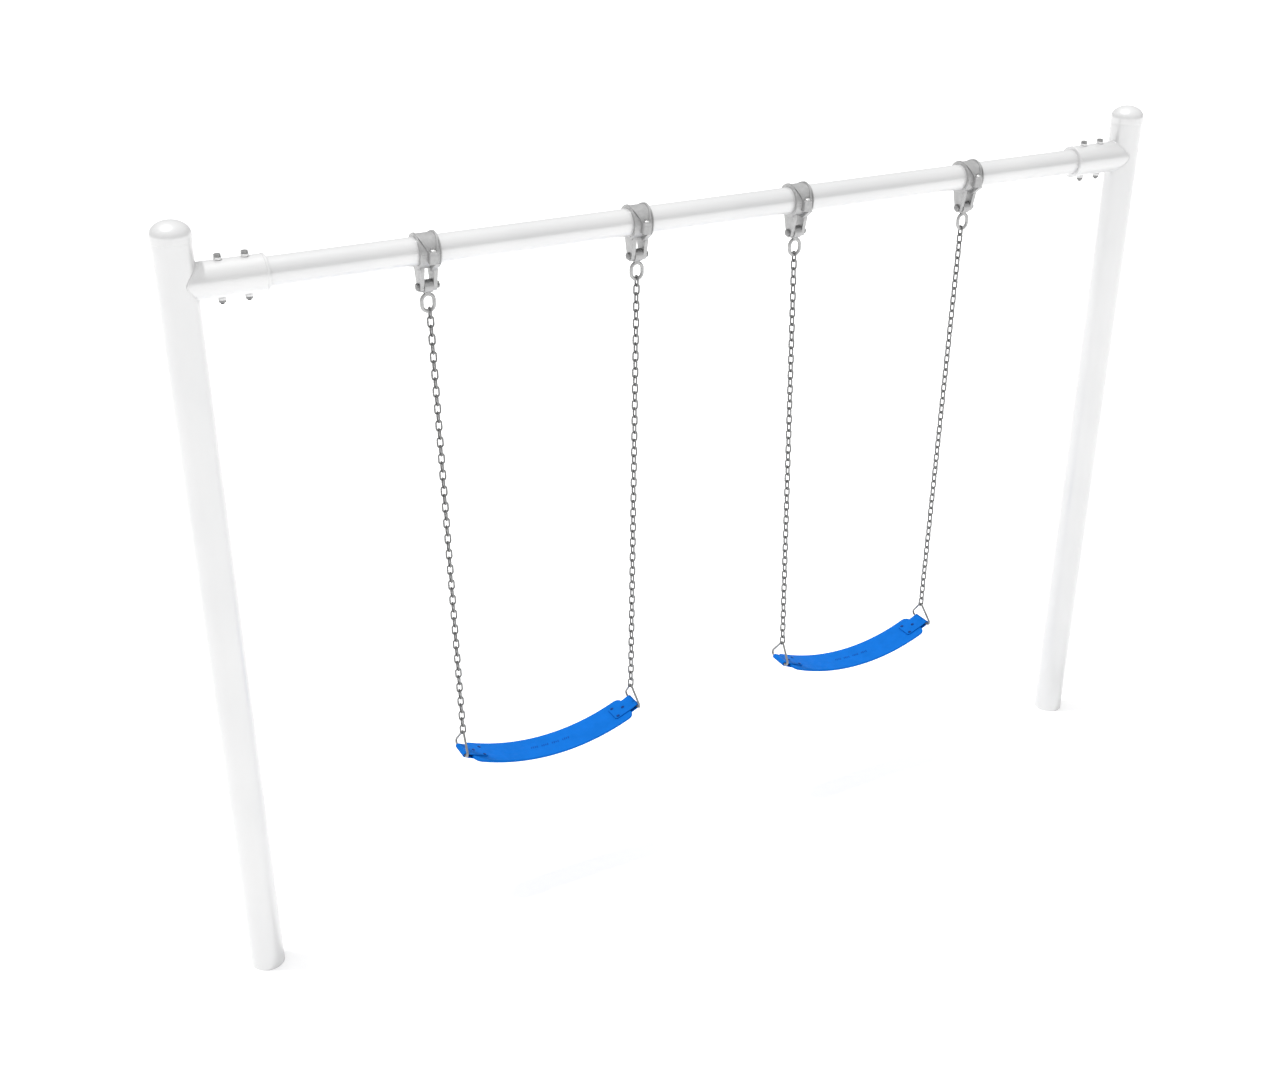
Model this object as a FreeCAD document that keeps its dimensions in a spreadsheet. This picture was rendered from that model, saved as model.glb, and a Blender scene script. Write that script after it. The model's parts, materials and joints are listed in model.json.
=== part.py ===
"""Swing set with two belt seats: two posts, a top rail, four pivoting hangers, chains and seats.

Frame: origin on the ground midway between the posts, +X along the top rail, +Z up, millimetres.
"""
import FreeCAD, Part
import math
import os
import re

import Sketcher

DIMENSIONS = {
    # posts and caps
    "post_od": (114.3, "outer diameter of each post"),
    "post_wall": (3.2, "wall of each post"),
    "post_top": (2589, "height of the open top of each post"),
    "post_half_gap": (1765, "half the distance between the post axes"),
    "cap_od": (118.4, "outer diameter of a cap's skirt"),
    "cap_skirt": (27, "height of a cap's skirt, below its dome"),
    "cap_dome": (34, "height of a cap's dome"),
    "cap_shoulder": (26, "radius of the round shoulder of a cap's dome"),
    "cap_wall": (3.5, "thickness of a cap at its crown"),
    # top rail and collars
    "rail_height": (2438.4, "height of the top rail's axis"),
    "rail_od": (88.9, "outer diameter of the top rail"),
    "rail_wall": (3.4, "wall of the top rail"),
    "rail_half_length": (1700, "half the length of the top rail"),
    "collar_od": (110, "outer diameter of a collar"),
    "collar_bore": (89.3, "bore of a collar"),
    "collar_reach": (254, "distance from a post's axis to the collar's mouth"),
    "lip_od": (113, "outer diameter of the rolled lip at a collar's mouth"),
    "lip_width": (9, "width of that lip"),
    "lip_bevel": (1.5, "bevel on each edge of that lip"),
    "bolt_first": (120.5, "distance from a post's axis to the first collar bolt"),
    "bolt_pitch": (77.8, "distance between the two bolts of a collar"),
    "bolt_shank": (12.6, "diameter of a collar bolt or a pivot pin"),
    "bolt_hole": (13, "diameter of the holes for the collar bolts"),
    "hex_across": (22, "size across the corners of a hexagon head or nut"),
    "hex_height": (9, "height of a hexagon head"),
    "thin_nut_height": (8, "height of a nut on a collar bolt"),
    "nut_height": (11, "height of a nut on a pivot pin"),
    "washer_od": (24, "outer diameter of a washer"),
    "washer_height": (7.5, "thickness of a spacer washer"),
    "bolt_tail": (5, "length of shank that shows past a nut"),
    # hanger clamp
    "swing_centre": (663.5, "distance from the middle of the rail to the middle of a swing"),
    "chain_half": (358.5, "half the distance between the tops of the two chains of a swing"),
    "chain_shift": (4, "distance from the middle of an outer hanger's eye in to its chain"),
    "clamp_width": (67.5, "width of the clamp band along the rail"),
    "clamp_radius": (53.5, "outer radius of the clamp band"),
    "clamp_bore": (44.6, "inner radius of the clamp band"),
    "rim_radius": (56, "outer radius of the raised rims of the clamp"),
    "rim_width": (3.5, "width of each raised rim"),
    "split_gap": (0.4, "gap between the two halves of the clamp"),
    "boss_radius": (15.5, "radius of the round front of a clamp boss"),
    "boss_reach": (58.5, "distance of a boss's round from the rail's axis"),
    "boss_offset": (5.5, "distance that a boss stands off the clamp's middle, along the rail"),
    "boss_up": (9, "height of a boss above the rail's axis"),
    "boss_down": (27, "depth of a boss below the rail's axis"),
    "rib_radius": (57, "outer radius of the sloping ribs of the clamp"),
    "rib_width": (6, "width of a sloping rib"),
    "screw_radius": (5, "radius of a clamp screw's shank"),
    "screw_head_radius": (9, "radius of a clamp screw's head"),
    "screw_head_height": (6, "height of a clamp screw's head"),
    # clevis, pivot and pendulum
    "ear_gap_half": (15, "half the gap between the clevis ears"),
    "ear_thick": (12.5, "thickness of a clevis ear"),
    "ear_top_half": (30, "half the depth of an ear where it leaves the clamp"),
    "ear_foot_radius": (17, "radius of the round foot of an ear"),
    "pin_drop": (110.4, "distance from the rail's axis down to the pivot pin"),
    "pin_head_radius": (12, "radius of the pivot pin's round head"),
    "pin_head_height": (9, "height of the pivot pin's head"),
    "barrel_radius": (20.5, "radius of the pendulum's barrel"),
    "barrel_half_width": (14, "half the width of the pendulum's barrel"),
    "bushing_radius": (9.5, "outer radius of the pendulum's bushing"),
    "bushing_bore": (6.36, "inner radius of the bushing"),
    "neck_width": (18, "width of the neck between the barrel and the eye"),
    "eye_wire": (12, "diameter of the bar that the pendulum's eye is made of"),
    "eye_inner_half": (14, "half the inner width of the eye"),
    "eye_straight": (13.6, "length of the eye's straight sides"),
    "eye_drop": (52.6, "distance from the pivot pin down to the middle of the eye"),
    # chains
    "link_pitch": (28.7, "pitch of the chain"),
    "link_gap": (0.4, "clearance between two links"),
    "link_wire": (6, "wire diameter of a link"),
    "link_inner_half": (6.4, "half the inner width of a link"),
    "links": (54, "number of links in a chain, with its two end links"),
    # triangles and seats
    "apex_half": (332, "distance from the middle of a swing to the apex of a triangle"),
    "bar_half": (341.5, "distance from the middle of a swing to the bar of a triangle"),
    "triangle_wire": (8, "wire diameter of a triangle"),
    "triangle_half": (52.5, "half the width of a triangle, to the middle of its wire"),
    "apex_bend": (9, "bend radius at a triangle's apex"),
    "corner_bend": (13, "bend radius at a triangle's lower corners"),
    "belt_radius": (746, "radius of the curve of a belt seat, at its mid thickness"),
    "belt_low": (551.5, "height of a belt seat's lowest point, at its mid thickness"),
    "belt_thick": (9.4, "thickness of a belt seat"),
    "belt_width": (127, "width of a belt seat"),
    "belt_end": (324, "length along the curve from the middle of a belt to its end"),
    "belt_corner": (25, "radius of a belt's rounded corners"),
    "insert_thick": (1.2, "thickness of the steel insert"),
    "insert_width": (98, "width of the steel insert"),
    "insert_end": (321, "length along the curve from the middle of the insert to its end"),
    "strap_width": (70, "width of an end strap"),
    "strap_thick": (4.5, "thickness of an end strap"),
    "strap_start": (261, "length along the curve from the middle of a belt to an end strap"),
    "strap_gap": (0.05, "clearance between an end strap and the belt"),
    "rivet_radius": (3, "radius of a rivet's shank"),
    "rivet_head_radius": (6.5, "radius of a rivet's head"),
    "rivet_head_height": (2, "height of a rivet's head"),
    "rivet_near": (275, "length along the curve to the two inner rivets of an end strap"),
    "rivet_far": (310, "length along the curve to the outer rivet of an end strap"),
    "rivet_side": (26, "distance of the inner rivets from the belt's middle"),
    "fit": (0.05, "clearance of a pin or screw in its hole"),
}

SIDES = {"left": -1, "right": 1}
ENDS = {"outer": 1, "inner": -1}

doc = FreeCAD.newDocument("swing_set")
nodes = []


def make_sheet():
    """Put the driving dimensions into a spreadsheet, one row each."""
    sheet = doc.addObject("Spreadsheet::Sheet", "sizes")
    for row, (alias, (value, note)) in enumerate(DIMENSIONS.items(), start=1):
        sheet.set(f"A{row}", alias)
        sheet.set(f"B{row}", str(value))
        sheet.set(f"C{row}", note)
        sheet.setAlias(f"B{row}", alias)
    doc.recompute()
    return sheet


sheet = make_sheet()


def qualified(text):
    """Name the sheet in front of every alias of an expression."""
    return re.sub(r"[a-z][a-z_]+", lambda m: "sizes." + m[0] if m[0] in DIMENSIONS else m[0], str(text))


def size(text):
    """Value of an expression of the sheet's aliases."""
    value = sheet.evalExpression(qualified(text))
    return float(getattr(value, "Value", value))


def bind(thing, **properties):
    """Bind properties of an object to expressions of the sheet's aliases."""
    for name, text in properties.items():
        thing.setExpression(name, qualified(text))
    return thing


AXES = {
    "x": FreeCAD.Rotation(FreeCAD.Vector(0, 1, 0), 90),
    "z": FreeCAD.Rotation(),
}


def place(thing, x=0, y=0, z=0, axis="z"):
    """Stand an object at a place given by three expressions, with its own Z along an axis."""
    thing.Placement = FreeCAD.Placement(FreeCAD.Vector(), AXES[axis])
    for name, text in (("x", x), ("y", y), ("z", z)):
        thing.setExpression("Placement.Base." + name, qualified(text))
    return thing


def add(kind, name):
    """Add an object of a kind, with a readable name."""
    return doc.addObject(kind, name)


def cylinder(name, radius, length, x=0, y=0, z=0, axis="z"):
    """Round bar that starts at a place and runs along an axis."""
    bar = bind(add("Part::Cylinder", name), Radius=radius, Height=length)
    return place(bar, x, y, z, axis)


def block(name, length, width, height, x=0, y=0, z=0):
    """Block centred over a place in X and Y, rising from it in Z."""
    solid = bind(add("Part::Box", name), Length=length, Width=width, Height=height)
    return place(solid, f"{x} - ({length}) / 2", f"{y} - ({width}) / 2", z)


def hexagon(name, height, x=0, y=0, z=0, axis="z"):
    """Hexagonal prism that starts at a place and runs along an axis."""
    prism = bind(add("Part::Prism", name), Circumradius="hex_across / 2", Height=height)
    prism.Polygon = 6
    return place(prism, x, y, z, axis)


def cut(name, base, *tools):
    """Take one or more tools away from a base."""
    for number, tool in enumerate(tools, start=1):
        result = add("Part::Cut", name if number == len(tools) else f"{name}_cut_{number}")
        result.Base = base
        result.Tool = tool
        base = result
    return base


def fuse(name, *solids):
    """Join solids into one."""
    result = add("Part::MultiFuse", name)
    result.Shapes = list(solids)
    result.Refine = True
    return result


def common(name, first, second):
    """Keep what two solids share."""
    result = add("Part::Common", name)
    result.Base = first
    result.Tool = second
    return result


def group(name, *solids):
    """Keep separate solids together as one object."""
    result = add("Part::Compound", name)
    result.Links = list(solids)
    return result


def node(name, thing):
    """Name an object as a sub-part of the swing set."""
    thing.Label = name
    nodes.append(thing)
    return thing


# ---------------------------------------------------------------- sketched bodies

PLANE_ROLES = {"xy": "XY_Plane", "xz": "XZ_Plane", "yz": "YZ_Plane"}


def new_sketch(body, name, plane):
    """Sketch on one of a body's own origin planes."""
    sketch = body.newObject("Sketcher::SketchObject", name)
    role = PLANE_ROLES[plane]
    origin_plane = next(f for f in body.Origin.OriginFeatures if f.Role == role)
    sketch.AttachmentSupport = [(origin_plane, "")]
    sketch.MapMode = "FlatFace"
    return sketch


def arc_between(start, end, radius, turn):
    """Arc of a radius from start to end, bulging to the right of the way for turn 1, left for -1."""
    chord = end - start
    middle = (start + end) / 2
    half = chord.Length / 2
    rise = radius - math.sqrt(max(radius * radius - half * half, 0))
    outward = FreeCAD.Vector(chord.y, -chord.x, 0) * (turn * rise / chord.Length)
    return Part.Arc(start, middle + outward, end)


def draw(sketch, outline):
    """Draw a closed outline and bind it.

    The outline is a list of (x, y) for a corner that a straight line leaves, and
    (x, y, radius, turn) for one that an arc leaves; all but turn are expressions.
    """
    corners = [FreeCAD.Vector(size(item[0]), size(item[1]), 0) for item in outline]
    count = len(outline)
    for index, item in enumerate(outline):
        start, end = corners[index], corners[(index + 1) % count]
        if len(item) == 2:
            sketch.addGeometry(Part.LineSegment(start, end))
        else:
            sketch.addGeometry(arc_between(start, end, size(item[2]), item[3]))
    first_point = [1] * count
    for index, item in enumerate(outline):
        if len(item) == 4 and item[3] < 0:
            first_point[index] = 2
    for index in range(count):
        following = (index + 1) % count
        last_point = 3 - first_point[index]
        sketch.addConstraint(Sketcher.Constraint(
            "Coincident", index, last_point, following, first_point[following]))
    for index, item in enumerate(outline):
        point = first_point[index]
        for kind, text, value in (("DistanceX", item[0], corners[index].x),
                                  ("DistanceY", item[1], corners[index].y)):
            number = sketch.addConstraint(Sketcher.Constraint(kind, -1, 1, index, point, value))
            sketch.setExpression(f"Constraints[{number}]", qualified(text))
        if len(item) == 4:
            number = sketch.addConstraint(Sketcher.Constraint("Radius", index, size(item[2])))
            sketch.setExpression(f"Constraints[{number}]", qualified(item[2]))
    return sketch


def padded(name, plane, outline, length):
    """Body made by padding an outline by a length, half of it to each side of its plane."""
    body = add("PartDesign::Body", name)
    sketch = draw(new_sketch(body, name + "_outline", plane), outline)
    pad = body.newObject("PartDesign::Pad", name + "_pad")
    pad.Profile = sketch
    pad.SideType = "Symmetric"
    bind(pad, Length=length)
    return body


def turned(name, outline):
    """Body of revolution: the outline's X is the radius and its Y the height along Z."""
    body = add("PartDesign::Body", name)
    sketch = draw(new_sketch(body, name + "_outline", "xz"), outline)
    revolution = body.newObject("PartDesign::Revolution", name + "_turn")
    revolution.Profile = sketch
    revolution.ReferenceAxis = (sketch, ["V_Axis"])
    revolution.Angle = 360
    return body


def bent_wire(name, plane, outline, wire, start_plane):
    """Closed ring of round wire that follows an outline, whose first corner is at X 0 of the sketch."""
    body = add("PartDesign::Body", name)
    spine = draw(new_sketch(body, name + "_spine", plane), outline)
    section = new_sketch(body, name + "_section", start_plane)
    centre = FreeCAD.Vector(0, size(outline[0][1]), 0)
    section.addGeometry(Part.Circle(centre, FreeCAD.Vector(0, 0, 1), size(wire) / 2))
    for kind, values, text in (("DistanceX", (-1, 1, 0, 3, 0), "0"),
                               ("DistanceY", (-1, 1, 0, 3, size(outline[0][1])), outline[0][1]),
                               ("Radius", (0, size(wire) / 2), f"({wire}) / 2")):
        number = section.addConstraint(Sketcher.Constraint(kind, *values))
        section.setExpression(f"Constraints[{number}]", qualified(text))
    pipe = body.newObject("PartDesign::AdditivePipe", name + "_pipe")
    pipe.Profile = section
    pipe.Spine = spine
    return body


# ---------------------------------------------------------------- posts, caps, collars and rail

def make_post(side, sign):
    """Round steel post, open at both ends."""
    name = f"{side}_post"
    x = f"{sign} * post_half_gap"
    outside = cylinder(name + "_outside", "post_od / 2", "post_top", x=x)
    inside = cylinder(name + "_inside", "post_od / 2 - post_wall", "post_top + 2", x=x, z="-1")
    return node(name, cut(name, outside, inside))


def make_cap(side, sign):
    """Domed cap whose skirt slips over the top of a post."""
    name = f"{side}_post_cap"
    inner = "post_od / 2 + 0.15"
    ledge = "cap_skirt + 2"
    hollow_top = "cap_skirt + cap_dome - cap_wall"
    hollow_radius = "post_od / 2 - 5"
    rise = f"({hollow_top} - ({ledge}))"
    # the crown is round about the axis and runs smoothly into the shoulder
    shelf = "(cap_od / 2 - cap_shoulder)"
    crown = f"(({shelf}^2 + cap_dome^2 - cap_shoulder^2) / (2 * (cap_dome - cap_shoulder)))"
    slope = f"asin({shelf} / ({crown} - cap_shoulder))"
    cap = turned(name, [
        (inner, "0"),
        ("cap_od / 2 - 1", "0"),
        ("cap_od / 2", "3"),
        ("cap_od / 2", "cap_skirt", "cap_shoulder", 1),
        (f"{crown} * sin({slope})", f"cap_skirt + cap_dome - {crown} * (1 - cos({slope}))", crown, 1),
        ("0", "cap_skirt + cap_dome"),
        ("0", hollow_top, f"(({hollow_radius})^2 + {rise}^2) / (2 * {rise})", -1),
        (hollow_radius, ledge),
        (inner, ledge),
    ])
    place(cap, x=f"{sign} * post_half_gap", z="post_top - cap_skirt - 2")
    return node(name, cap)


def bolt_places(sign):
    """Places along the rail of the two bolts of a collar."""
    return [f"{sign} * (post_half_gap - bolt_first)", f"{sign} * (post_half_gap - bolt_first - bolt_pitch)"]


def bolt_holes(name, sign, radius="bolt_hole / 2"):
    """Upright tools that drill the two bolt holes of a collar."""
    return [cylinder(f"{name}_hole_{n}", radius, "2 * lip_od", x=x, z="rail_height - lip_od")
            for n, x in enumerate(bolt_places(sign), start=1)]


def make_collar(side, sign):
    """Socket that is coped and welded to a post and takes an end of the top rail."""
    name = f"{side}_collar"
    lip_start = "collar_reach - lip_width"
    blank = turned(name + "_blank", [
        ("collar_bore / 2", "0"),
        ("collar_od / 2", "0"),
        ("collar_od / 2", lip_start),
        ("lip_od / 2", f"{lip_start} + lip_bevel"),
        ("lip_od / 2", "collar_reach - lip_bevel"),
        ("lip_od / 2 - lip_bevel", "collar_reach"),
        ("collar_bore / 2", "collar_reach"),
    ])
    place(blank, x=f"{sign} * post_half_gap", z="rail_height")
    blank.Placement.Rotation = FreeCAD.Rotation(FreeCAD.Vector(0, 1, 0), -90 * sign)
    post = cylinder(name + "_cope", "post_od / 2", "2 * lip_od", x=f"{sign} * post_half_gap",
                    z="rail_height - lip_od")
    return node(name, cut(name, blank, post, *bolt_holes(name, sign)))


def make_rail():
    """Top rail: one tube that reaches into both collars, drilled for their bolts."""
    outside = cylinder("rail_outside", "rail_od / 2", "2 * rail_half_length",
                       x="-rail_half_length", z="rail_height", axis="x")
    inside = cylinder("rail_inside", "rail_od / 2 - rail_wall", "2 * rail_half_length + 2",
                      x="-rail_half_length - 1", z="rail_height", axis="x")
    holes = [hole for side, sign in SIDES.items() for hole in bolt_holes(f"rail_{side}", sign)]
    return node("top_rail", cut("top_rail", outside, inside, *holes))


def ring(name, radius, bore, length, x=0, y=0, z=0, axis="z"):
    """Round washer or bush that starts at a place."""
    outside = cylinder(name + "_outside", radius, length, x, y, z, axis)
    inside = cylinder(name + "_inside", bore, length, x, y, z, axis)
    return cut(name, outside, inside)


def make_collar_fasteners():
    """Through bolts of the collars, heads up, with a washer at each end and a nut below."""
    bolts, nuts, washers = [], [], []
    top = "rail_height + collar_od / 2"
    foot = "rail_height - collar_od / 2 - washer_height"
    length = "collar_od + 2 * washer_height + thin_nut_height + bolt_tail"
    for side, sign in SIDES.items():
        for number, x in enumerate(bolt_places(sign), start=1):
            tag = f"{side}_{number}"
            head = hexagon(f"bolt_head_{tag}", "hex_height", x=x, z=f"{top} + washer_height")
            shank = cylinder(f"bolt_shank_{tag}", "bolt_shank / 2", length, x=x,
                             z=f"{foot} - thin_nut_height - bolt_tail")
            bolts.append(fuse(f"collar_bolt_{tag}", head, shank))
            blank = hexagon(f"nut_blank_{tag}", "thin_nut_height", x=x, z=f"{foot} - thin_nut_height")
            thread = cylinder(f"nut_thread_{tag}", "bolt_shank / 2 + fit", "thin_nut_height", x=x,
                              z=f"{foot} - thin_nut_height")
            nuts.append(cut(f"collar_nut_{tag}", blank, thread))
            for level, z in (("upper", top), ("lower", foot)):
                washers.append(ring(f"{level}_washer_{tag}", "washer_od / 2", "bolt_hole / 2",
                                    "washer_height", x=x, z=z))
    node("collar_bolts", group("collar_bolts", *bolts))
    node("collar_nuts", group("collar_nuts", *nuts))
    node("collar_washers", group("collar_washers", *washers))


# ---------------------------------------------------------------- hangers

def chain_places():
    """Name and place along the rail of each chain's top, with the way from it to its swing's middle."""
    return [(f"{side}_{end}", f"{sign} * (swing_centre + {way} * chain_half)", -sign * way)
            for side, sign in SIDES.items() for end, way in ENDS.items()]


def hanger_places():
    """Name and place along the rail of each hanger."""
    return [(name, f"{x} - {inward} * chain_shift" if "outer" in name else x)
            for name, x, inward in chain_places()]


def band_half(name, upward):
    """Half of the clamp band with its two raised rims, above or below the rail's axis."""
    band = cylinder(name + "_band", "clamp_radius", "clamp_width", x="-clamp_width / 2", axis="x")
    rims = [cylinder(f"{name}_rim_{n}", "rim_radius", "rim_width", x=x, axis="x")
            for n, x in enumerate(("-clamp_width / 2", "clamp_width / 2 - rim_width"), start=1)]
    bottom = "split_gap / 2" if upward else "-2 * clamp_radius"
    height = "2 * clamp_radius" if upward else "2 * clamp_radius - split_gap / 2"
    keep = block(name + "_keep", "2 * clamp_width", "4 * clamp_radius", height, z=bottom)
    return common(name + "_half", fuse(name + "_rings", band, *rims), keep)


def boss_place(way):
    """Place of the axis of the front (way -1) or the back (way 1) boss of a clamp."""
    return {"x": f"{-way} * boss_offset", "y": f"{way} * boss_reach"}


def boss(name, way, bottom, height):
    """Clamp boss on the front (way -1) or the back (way 1), with a rounded outer side."""
    rounded = cylinder(name + "_round", "boss_radius", height, z=bottom, **boss_place(way))
    root = block(name + "_root", "2 * boss_radius", "boss_reach - 20", height,
                 x=f"{-way} * boss_offset", y=f"{way} * (boss_reach + 20) / 2", z=bottom)
    return fuse(name, rounded, root)


def bore_tool(name):
    """Tool that clears the rail out of a clamp half."""
    return cylinder(name + "_bore", "clamp_bore", "2 * clamp_width", x="-clamp_width", axis="x")


def sloping_ribs(name):
    """Ribs that run over the band from its top corners down to the sides of the two bosses."""
    ribs = []
    for face, way in (("back", 1), ("front", -1)):
        for hand, turn in (("left", -1), ("right", 1)):
            plate = padded(f"{name}_{face}_{hand}_plate", "xz", [
                (f"{-way} * boss_offset + {turn} * (boss_radius - rib_width)", "boss_up"),
                (f"{-way} * boss_offset + {turn} * boss_radius", "boss_up"),
                (f"{turn} * clamp_width / 2", "rib_radius"),
                (f"{turn} * (clamp_width / 2 - rib_width)", "rib_radius"),
            ], "2 * clamp_radius")
            place(plate, y=f"{way} * clamp_radius")
            shell = cylinder(f"{name}_{face}_{hand}_shell", "rib_radius", "clamp_width",
                             x="-clamp_width / 2", axis="x")
            ribs.append(common(f"{name}_{face}_{hand}_rib", plate, shell))
    return ribs


def make_clamp_top(name, x):
    """Upper half of a hanger clamp, with its bosses and sloping ribs."""
    name += "_clamp_top"
    bosses = [boss(f"{name}_boss_{n}", way, "split_gap / 2", "boss_up - split_gap / 2")
              for n, way in enumerate((-1, 1), start=1)]
    body = fuse(name + "_body", band_half(name, True), *bosses, *sloping_ribs(name))
    holes = [cylinder(f"{name}_hole_{n}", "screw_radius + 0.4", "2 * boss_up", z="-1", **boss_place(way))
             for n, way in enumerate((-1, 1), start=1)]
    seats = [cylinder(f"{name}_screw_seat_{n}", "screw_head_radius + 0.3", "clamp_radius",
                      z="boss_up", **boss_place(way)) for n, way in enumerate((-1, 1), start=1)]
    return node(name, place(cut(name, body, bore_tool(name), *holes, *seats), x=x, z="rail_height"))


def ear(name, way):
    """Clevis ear: wide where it leaves the clamp, with a round foot about the pivot pin."""
    foot = "ear_foot_radius"
    top = "-clamp_bore"
    plate = padded(name, "yz", [
        ("ear_top_half", top),
        ("-ear_top_half", top),
        ("-ear_top_half", "-clamp_radius - 4"),
        (f"-{foot}", "-pin_drop", foot, 1),
        ("0", f"-pin_drop - {foot}", foot, 1),
        (foot, "-pin_drop"),
        ("ear_top_half", "-clamp_radius - 4"),
    ], "ear_thick")
    return place(plate, x=f"{way} * (ear_gap_half + ear_thick / 2)")


def gusset(name, way):
    """Web that tapers from the foot of the front (way -1) or the back (way 1) boss down to an ear."""
    width = "(boss_radius + 1.5)"
    web = padded(name, "yz", [
        (f"{way} * (boss_reach + boss_radius - 3)", "-boss_down"),
        (f"{way} * 45", "-boss_down"),
        (f"{way} * 20", "-clamp_radius + 4"),
        (f"{way} * ear_top_half", "-clamp_radius - 4"),
    ], width)
    return place(web, x=f"{-way} * (boss_offset + boss_radius - {width} / 2)")


def make_yoke(name, x):
    """Lower half of a hanger clamp, with the clevis ears that carry the pivot pin."""
    name += "_yoke"
    ways = list(enumerate((-1, 1), start=1))
    bosses = [boss(f"{name}_boss_{n}", way, "-boss_down", "boss_down - split_gap / 2") for n, way in ways]
    gussets = [gusset(f"{name}_gusset_{n}", way) for n, way in ways]
    ears = [ear(f"{name}_ear_{n}", way) for n, way in ways]
    body = fuse(name + "_body", band_half(name, False), *bosses, *gussets, *ears)
    threads = [cylinder(f"{name}_thread_{n}", "screw_radius + fit", "boss_down + 5", z="-boss_down - 5",
                        **boss_place(way)) for n, way in ways]
    pin_hole = cylinder(name + "_pin_hole", "bolt_shank / 2 + fit", "2 * clamp_width", x="-clamp_width",
                        z="-pin_drop", axis="x")
    return node(name, place(cut(name, body, bore_tool(name), pin_hole, *threads), x=x, z="rail_height"))


def make_clamp_screws():
    """Screws that draw the clamp halves together, two to a hanger."""
    screws = []
    for name, x in hanger_places():
        for n, way in enumerate((-1, 1), start=1):
            tag = f"{name}_screw_{n}"
            y = boss_place(way)["y"]
            across = f"{x} + " + boss_place(way)["x"]
            head = cylinder(tag + "_head", "screw_head_radius", "screw_head_height", x=across, y=y,
                            z="rail_height + boss_up")
            shank = cylinder(tag + "_shank", "screw_radius", "boss_up + boss_down", x=across, y=y,
                             z="rail_height - boss_down")
            screws.append(fuse(tag, head, shank))
    node("clamp_screws", group("clamp_screws", *screws))


def make_pivot_pin(name, x):
    """Pin with a round head that a pendulum swings on."""
    name += "_pivot_pin"
    reach = "ear_gap_half + ear_thick"
    head = cylinder(name + "_head", "pin_head_radius", "pin_head_height",
                    x=f"{x} - ({reach}) - pin_head_height", z="rail_height - pin_drop", axis="x")
    shank = cylinder(name + "_shank", "bolt_shank / 2", f"2 * ({reach}) + nut_height + 2",
                     x=f"{x} - ({reach})", z="rail_height - pin_drop", axis="x")
    return node(name, fuse(name, head, shank))


def make_pivot_nuts():
    """Nuts on the ends of the pivot pins."""
    nuts = []
    for name, x in hanger_places():
        start = f"{x} + ear_gap_half + ear_thick"
        blank = hexagon(f"{name}_nut_blank", "nut_height", x=start, z="rail_height - pin_drop", axis="x")
        thread = cylinder(f"{name}_nut_thread", "bolt_shank / 2 + fit", "nut_height", x=start,
                          z="rail_height - pin_drop", axis="x")
        nuts.append(cut(f"{name}_nut", blank, thread))
    node("pivot_nuts", group("pivot_nuts", *nuts))


RING_TURNS = {
    # plane of the ring: (ring upright, ring upside down), as the directions of its own X, Y and Z
    "xz": (((1, 0, 0), (0, 0, 1), (0, -1, 0)), ((1, 0, 0), (0, 0, -1), (0, 1, 0))),
    "yz": (((0, 1, 0), (0, 0, 1), (1, 0, 0)), ((0, 1, 0), (0, 0, -1), (-1, 0, 0))),
}


def oval_ring(name, plane, inner_half, straight, wire, z="0"):
    """Oval ring of round bar in an upright plane: two half rings and two straight sides."""
    pieces = []
    for n, way in enumerate((1, -1)):
        bend = bind(add("Part::Torus", f"{name}_bend_{n}"), Radius1=f"{inner_half} + ({wire}) / 2",
                    Radius2=f"({wire}) / 2")
        bend.Angle3 = 180
        place(bend, z=f"{z} + {way} * ({straight}) / 2")
        axes = [FreeCAD.Vector(*direction) for direction in RING_TURNS[plane][n]]
        bend.Placement.Rotation = FreeCAD.Rotation(*axes, "XYZ")
        offset = f"{way} * ({inner_half} + ({wire}) / 2)"
        side = {"xz": {"x": offset}, "yz": {"y": offset}}[plane]
        pieces += [bend, cylinder(f"{name}_side_{n}", f"({wire}) / 2", straight,
                                  z=f"{z} - ({straight}) / 2", **side)]
    return fuse(name, *pieces)


def make_pendulum(name, x):
    """Barrel that turns on the pivot pin, with an oval eye below it for the chain."""
    name += "_pendulum"
    barrel = cylinder(name + "_barrel", "barrel_radius", "2 * barrel_half_width", x="-barrel_half_width",
                      axis="x")
    neck = block(name + "_neck", "neck_width", "eye_wire", "barrel_radius", z="-1.2 * barrel_radius")
    eye = oval_ring(name + "_eye", "xz", "eye_inner_half", "eye_straight", "eye_wire", z="-eye_drop")
    body = fuse(name + "_body", barrel, neck, eye)
    bore = cylinder(name + "_bore", "bushing_radius + fit", "4 * barrel_half_width",
                    x="-2 * barrel_half_width", axis="x")
    window = padded(name + "_window", "xz", rounded_window("-eye_drop"), "4 * eye_wire")
    return node(name, place(cut(name, body, bore, window), x=x, z="rail_height - pin_drop"))


def rounded_window(middle):
    """Outline of the clear opening inside a pendulum's eye."""
    half = "(eye_inner_half - 0.4)"
    top = f"{middle} + eye_straight / 2"
    foot = f"{middle} - eye_straight / 2"
    return [
        ("0", f"{top} + {half}", half, 1),
        (f"-{half}", top),
        (f"-{half}", foot, half, 1),
        ("0", f"{foot} - {half}", half, 1),
        (half, foot),
        (half, top, half, 1),
    ]


def make_bushing(name, x):
    """Bronze bush pressed into a pendulum's barrel."""
    name += "_bushing"
    return node(name, ring(name, "bushing_radius", "bushing_bore", "2 * barrel_half_width",
                           x=f"{x} - barrel_half_width", z="rail_height - pin_drop", axis="x"))


# ---------------------------------------------------------------- chains and triangles

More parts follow.
